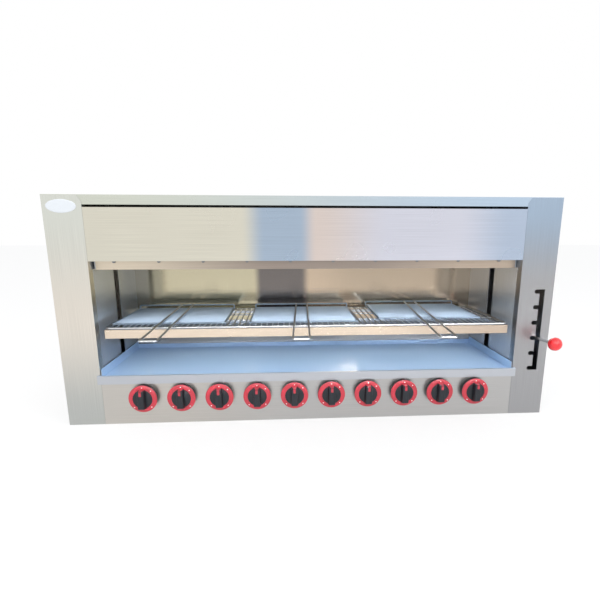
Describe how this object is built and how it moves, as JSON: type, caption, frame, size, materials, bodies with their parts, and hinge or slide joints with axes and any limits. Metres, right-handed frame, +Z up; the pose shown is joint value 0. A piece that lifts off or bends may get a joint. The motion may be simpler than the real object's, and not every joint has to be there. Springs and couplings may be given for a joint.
{
  "type": "cheese melter",
  "caption": "Countertop gas cheese melter with overhead burners, a lever-set wire rack, handled grill grids, a drip tray and a row of dial knobs on a stainless casing.",
  "frame": {"origin": "centre of the casing's underside, on the surface it stands on", "axes": "+X to the right seen from the front, +Y to the rear, +Z up; the open front faces -Y"},
  "size_m": [1.2, 0.5543, 0.546],
  "materials": {
    "ball_red": "glossy moulded ball",
    "brass": "machined brass",
    "ceramic": "porous ceramic burner plaque",
    "chrome": "polished chrome",
    "knob_black": "moulded heat-resistant plastic",
    "pipe_steel": "zinc-plated steel tube",
    "ring_red": "moulded red plastic",
    "stainless_bright": "bright annealed stainless sheet",
    "stainless_brushed": "vertically brushed stainless sheet",
    "wire_nickel": "nickel-plated welded wire",
    "zinc": "zinc-plated steel"
  },
  "bodies": {
    "casing": {"back_cover": "zinc", "base_plate": "zinc", "burner_bolts": "chrome", "burner_housings": "stainless_brushed", "burner_injectors": "brass", "burner_rail_front": "stainless_bright", "burner_rail_rear": "stainless_bright", "burner_tiles": "ceramic", "control_panel": "stainless_brushed", "feed_pipes": "pipe_steel", "gas_inlet": "brass", "gas_manifold": "pipe_steel", "gas_valves": "brass", "guide_brackets": "zinc", "guide_rods": "chrome", "hood_fascia": "stainless_brushed", "inlet_locknut": "brass", "left_inner_wall": "stainless_bright", "left_side_casing": "stainless_brushed", "rear_inner_wall": "stainless_bright", "right_inner_wall": "stainless_bright", "right_side_casing": "stainless_brushed", "top_cover": "stainless_brushed", "tray_runners": "zinc"},
    "rack_carriage": {"carriage_frame": "stainless_bright", "wire_rack": "wire_nickel", "carriage_arms": "zinc", "left_guide_block": "zinc", "right_guide_block": "zinc", "lever_pivot": "chrome"},
    "lever": {"lever_rod": "chrome", "lever_ball": "ball_red"},
    "grid_left": {"grill_grid_left": "wire_nickel", "grid_handle_left": "wire_nickel"},
    "grid_centre": {"grill_grid_centre": "wire_nickel", "grid_handle_centre": "wire_nickel"},
    "grid_right": {"grill_grid_right": "wire_nickel", "grid_handle_right": "wire_nickel"},
    "tray": {"drip_tray": "stainless_bright"},
    "dial_1": {"knob_1": "knob_black", "knob_ring_1": "ring_red"},
    "dial_2": {"knob_2": "knob_black", "knob_ring_2": "ring_red"},
    "dial_3": {"knob_3": "knob_black", "knob_ring_3": "ring_red"},
    "dial_4": {"knob_4": "knob_black", "knob_ring_4": "ring_red"},
    "dial_5": {"knob_5": "knob_black", "knob_ring_5": "ring_red"},
    "dial_6": {"knob_6": "knob_black", "knob_ring_6": "ring_red"},
    "dial_7": {"knob_7": "knob_black", "knob_ring_7": "ring_red"},
    "dial_8": {"knob_8": "knob_black", "knob_ring_8": "ring_red"},
    "dial_9": {"knob_9": "knob_black", "knob_ring_9": "ring_red"},
    "dial_10": {"knob_10": "knob_black", "knob_ring_10": "ring_red"}
  },
  "joints": [
    {"name": "rack_lift", "type": "slide", "parent": "casing", "child": "rack_carriage", "axis": [0, 0, 1], "range_m": [-0.079, 0.1185]},
    {"name": "lever_swing", "type": "hinge", "parent": "rack_carriage", "child": "lever", "pos_m": [0.55725, -0.086, 0.203], "axis": [0, 0, 1], "range_deg": [-7.37, 0]},
    {"name": "grid_left_draw", "type": "slide", "parent": "rack_carriage", "child": "grid_left", "axis": [0, -1, 0], "range_m": [0, 0.14]},
    {"name": "grid_centre_draw", "type": "slide", "parent": "rack_carriage", "child": "grid_centre", "axis": [0, -1, 0], "range_m": [0, 0.14]},
    {"name": "grid_right_draw", "type": "slide", "parent": "rack_carriage", "child": "grid_right", "axis": [0, -1, 0], "range_m": [0, 0.14]},
    {"name": "tray_draw", "type": "slide", "parent": "casing", "child": "tray", "axis": [0, -1, 0], "range_m": [0, 0.25]},
    {"name": "knob_1_turn", "type": "hinge", "parent": "casing", "child": "dial_1", "pos_m": [-0.414, -0.21, 0.069], "axis": [0, -1, 0], "range_deg": [0, 225]},
    {"name": "knob_2_turn", "type": "hinge", "parent": "casing", "child": "dial_2", "pos_m": [-0.322, -0.21, 0.069], "axis": [0, -1, 0], "range_deg": [0, 225]},
    {"name": "knob_3_turn", "type": "hinge", "parent": "casing", "child": "dial_3", "pos_m": [-0.23, -0.21, 0.069], "axis": [0, -1, 0], "range_deg": [0, 225]},
    {"name": "knob_4_turn", "type": "hinge", "parent": "casing", "child": "dial_4", "pos_m": [-0.138, -0.21, 0.069], "axis": [0, -1, 0], "range_deg": [0, 225]},
    {"name": "knob_5_turn", "type": "hinge", "parent": "casing", "child": "dial_5", "pos_m": [-0.046, -0.21, 0.069], "axis": [0, -1, 0], "range_deg": [0, 225]},
    {"name": "knob_6_turn", "type": "hinge", "parent": "casing", "child": "dial_6", "pos_m": [0.046, -0.21, 0.069], "axis": [0, -1, 0], "range_deg": [0, 225]},
    {"name": "knob_7_turn", "type": "hinge", "parent": "casing", "child": "dial_7", "pos_m": [0.138, -0.21, 0.069], "axis": [0, -1, 0], "range_deg": [0, 225]},
    {"name": "knob_8_turn", "type": "hinge", "parent": "casing", "child": "dial_8", "pos_m": [0.23, -0.21, 0.069], "axis": [0, -1, 0], "range_deg": [0, 225]},
    {"name": "knob_9_turn", "type": "hinge", "parent": "casing", "child": "dial_9", "pos_m": [0.322, -0.21, 0.069], "axis": [0, -1, 0], "range_deg": [0, 225]},
    {"name": "knob_10_turn", "type": "hinge", "parent": "casing", "child": "dial_10", "pos_m": [0.414, -0.21, 0.069], "axis": [0, -1, 0], "range_deg": [0, 225]}
  ]
}
